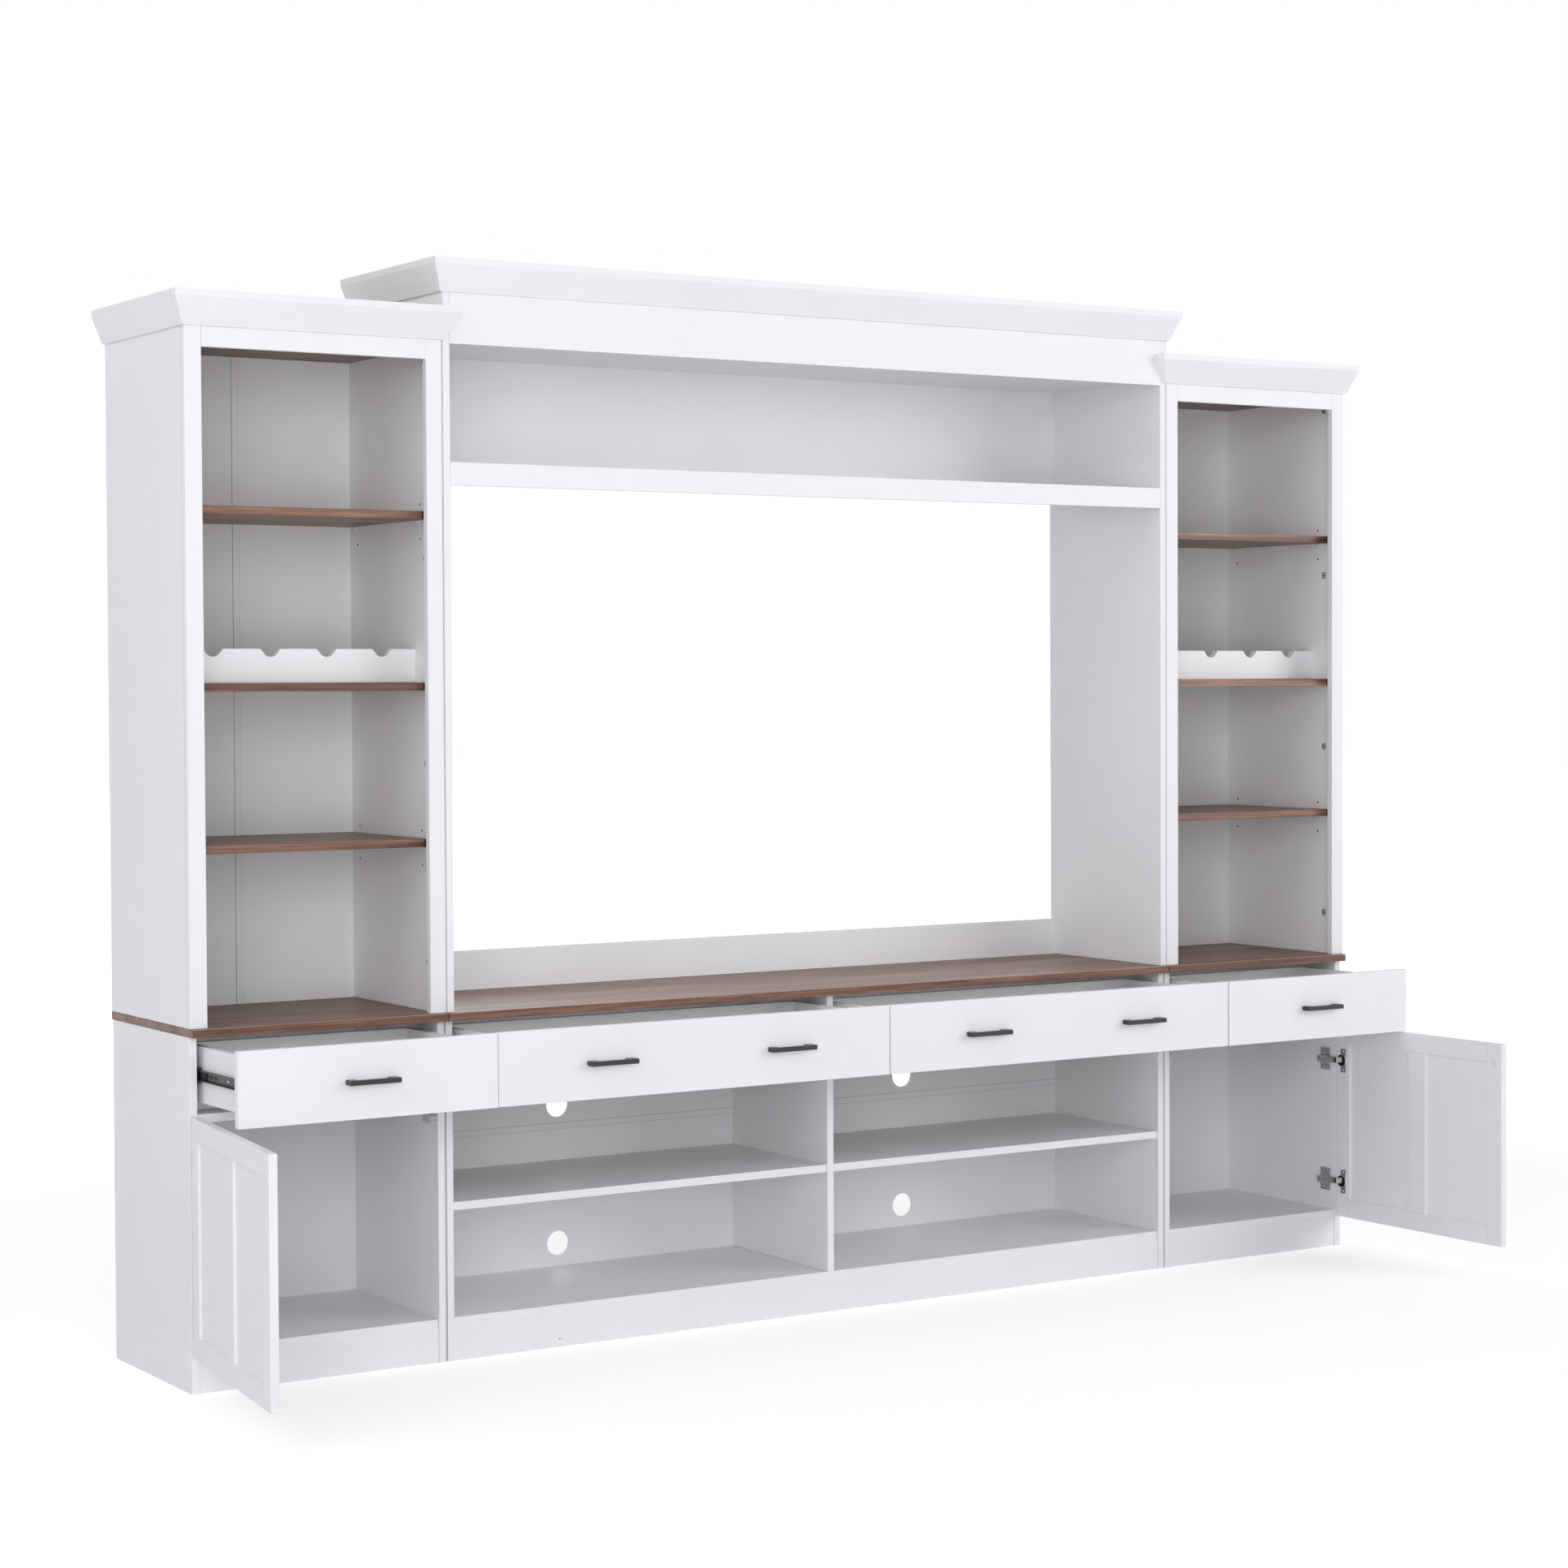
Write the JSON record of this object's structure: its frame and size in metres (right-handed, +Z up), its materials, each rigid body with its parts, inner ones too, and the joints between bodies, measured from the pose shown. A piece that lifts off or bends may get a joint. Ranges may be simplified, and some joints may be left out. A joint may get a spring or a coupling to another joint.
{
  "type": "entertainment center",
  "caption": "White and walnut wall unit: low console with drawers and open bays, bridge with cubby over the TV space, and side towers with shelves, bottle rails, drawers and doors.",
  "frame": {"origin": "on the floor, under the middle of the console's plinth", "axes": "+X runs along the front to the right, +Y points to the wall, +Z is up"},
  "size_m": [2.7892, 0.8836, 2.04],
  "materials": {
    "white_board": "white laminate on particle board, satin",
    "walnut_board": "walnut grain laminate, matt",
    "black_metal": "black powder coat",
    "nickel": "nickel plated pressed steel",
    "white_plastic": "moulded plastic"
  },
  "bodies": {
    "cabinet": {"bridge_crown": "white_board", "bridge_left_side": "white_board", "bridge_right_side": "white_board", "bridge_shelf": "white_board", "console_back": "white_board", "console_counter": "walnut_board", "console_floor": "white_board", "console_left_side": "white_board", "console_partition": "white_board", "console_right_side": "white_board", "left_base_back": "white_board", "left_base_floor": "white_board", "left_base_inner_side": "white_board", "left_base_outer_side": "white_board", "left_bottle_rail": "white_board", "left_counter": "walnut_board", "left_crown": "white_board", "left_door_catch": "white_plastic", "left_hutch_back": "white_board", "left_hutch_inner_side": "white_board", "left_hutch_outer_side": "white_board", "left_hutch_roof": "walnut_board", "left_lower_hinge": "nickel", "left_lower_shelf": "walnut_board", "left_rack_shelf": "walnut_board", "left_upper_hinge": "nickel", "left_upper_shelf": "walnut_board", "right_base_back": "white_board", "right_base_floor": "white_board", "right_base_inner_side": "white_board", "right_base_outer_side": "white_board", "right_bottle_rail": "white_board", "right_counter": "walnut_board", "right_crown": "white_board", "right_door_catch": "white_plastic", "right_hutch_back": "white_board", "right_hutch_inner_side": "white_board", "right_hutch_outer_side": "white_board", "right_hutch_roof": "walnut_board", "right_lower_hinge": "nickel", "right_lower_shelf": "walnut_board", "right_rack_shelf": "walnut_board", "right_upper_hinge": "nickel", "right_upper_shelf": "walnut_board"},
    "left_door": {"left_door": "white_board"},
    "left_tower_drawer": {"left_tower_drawer_front": "white_board", "left_tower_drawer_box": "white_board", "left_tower_drawer_handle": "black_metal"},
    "left_console_drawer": {"left_console_drawer_front": "white_board", "left_console_drawer_box": "white_board", "left_console_inner_drawer_handle": "black_metal", "left_console_outer_drawer_handle": "black_metal"},
    "right_door": {"right_door": "white_board"},
    "right_tower_drawer": {"right_tower_drawer_front": "white_board", "right_tower_drawer_box": "white_board", "right_tower_drawer_handle": "black_metal"},
    "right_console_drawer": {"right_console_drawer_front": "white_board", "right_console_drawer_box": "white_board", "right_console_inner_drawer_handle": "black_metal", "right_console_outer_drawer_handle": "black_metal"}
  },
  "joints": [
    {"name": "left_tower_drawer_slide", "type": "slide", "parent": "cabinet", "child": "left_tower_drawer", "axis": [0, -1, 0], "range_m": [-0.202, 0.023]},
    {"name": "left_console_drawer_slide", "type": "slide", "parent": "cabinet", "child": "left_console_drawer", "axis": [0, -1, 0], "range_m": [-0.197, 0.028]},
    {"name": "left_door_hinge", "type": "hinge", "parent": "cabinet", "child": "left_door", "pos_m": [-1.344, -0.0205, 0.281], "axis": [0, 0, -1], "range_deg": [-97.4, 7.6]},
    {"name": "right_tower_drawer_slide", "type": "slide", "parent": "cabinet", "child": "right_tower_drawer", "axis": [0, -1, 0], "range_m": [-0.197, 0.028]},
    {"name": "right_console_drawer_slide", "type": "slide", "parent": "cabinet", "child": "right_console_drawer", "axis": [0, -1, 0], "range_m": [-0.197, 0.028]},
    {"name": "right_door_hinge", "type": "hinge", "parent": "cabinet", "child": "right_door", "pos_m": [1.344, -0.0205, 0.281], "axis": [0, 0, 1], "range_deg": [-91.5, 13.5]}
  ]
}
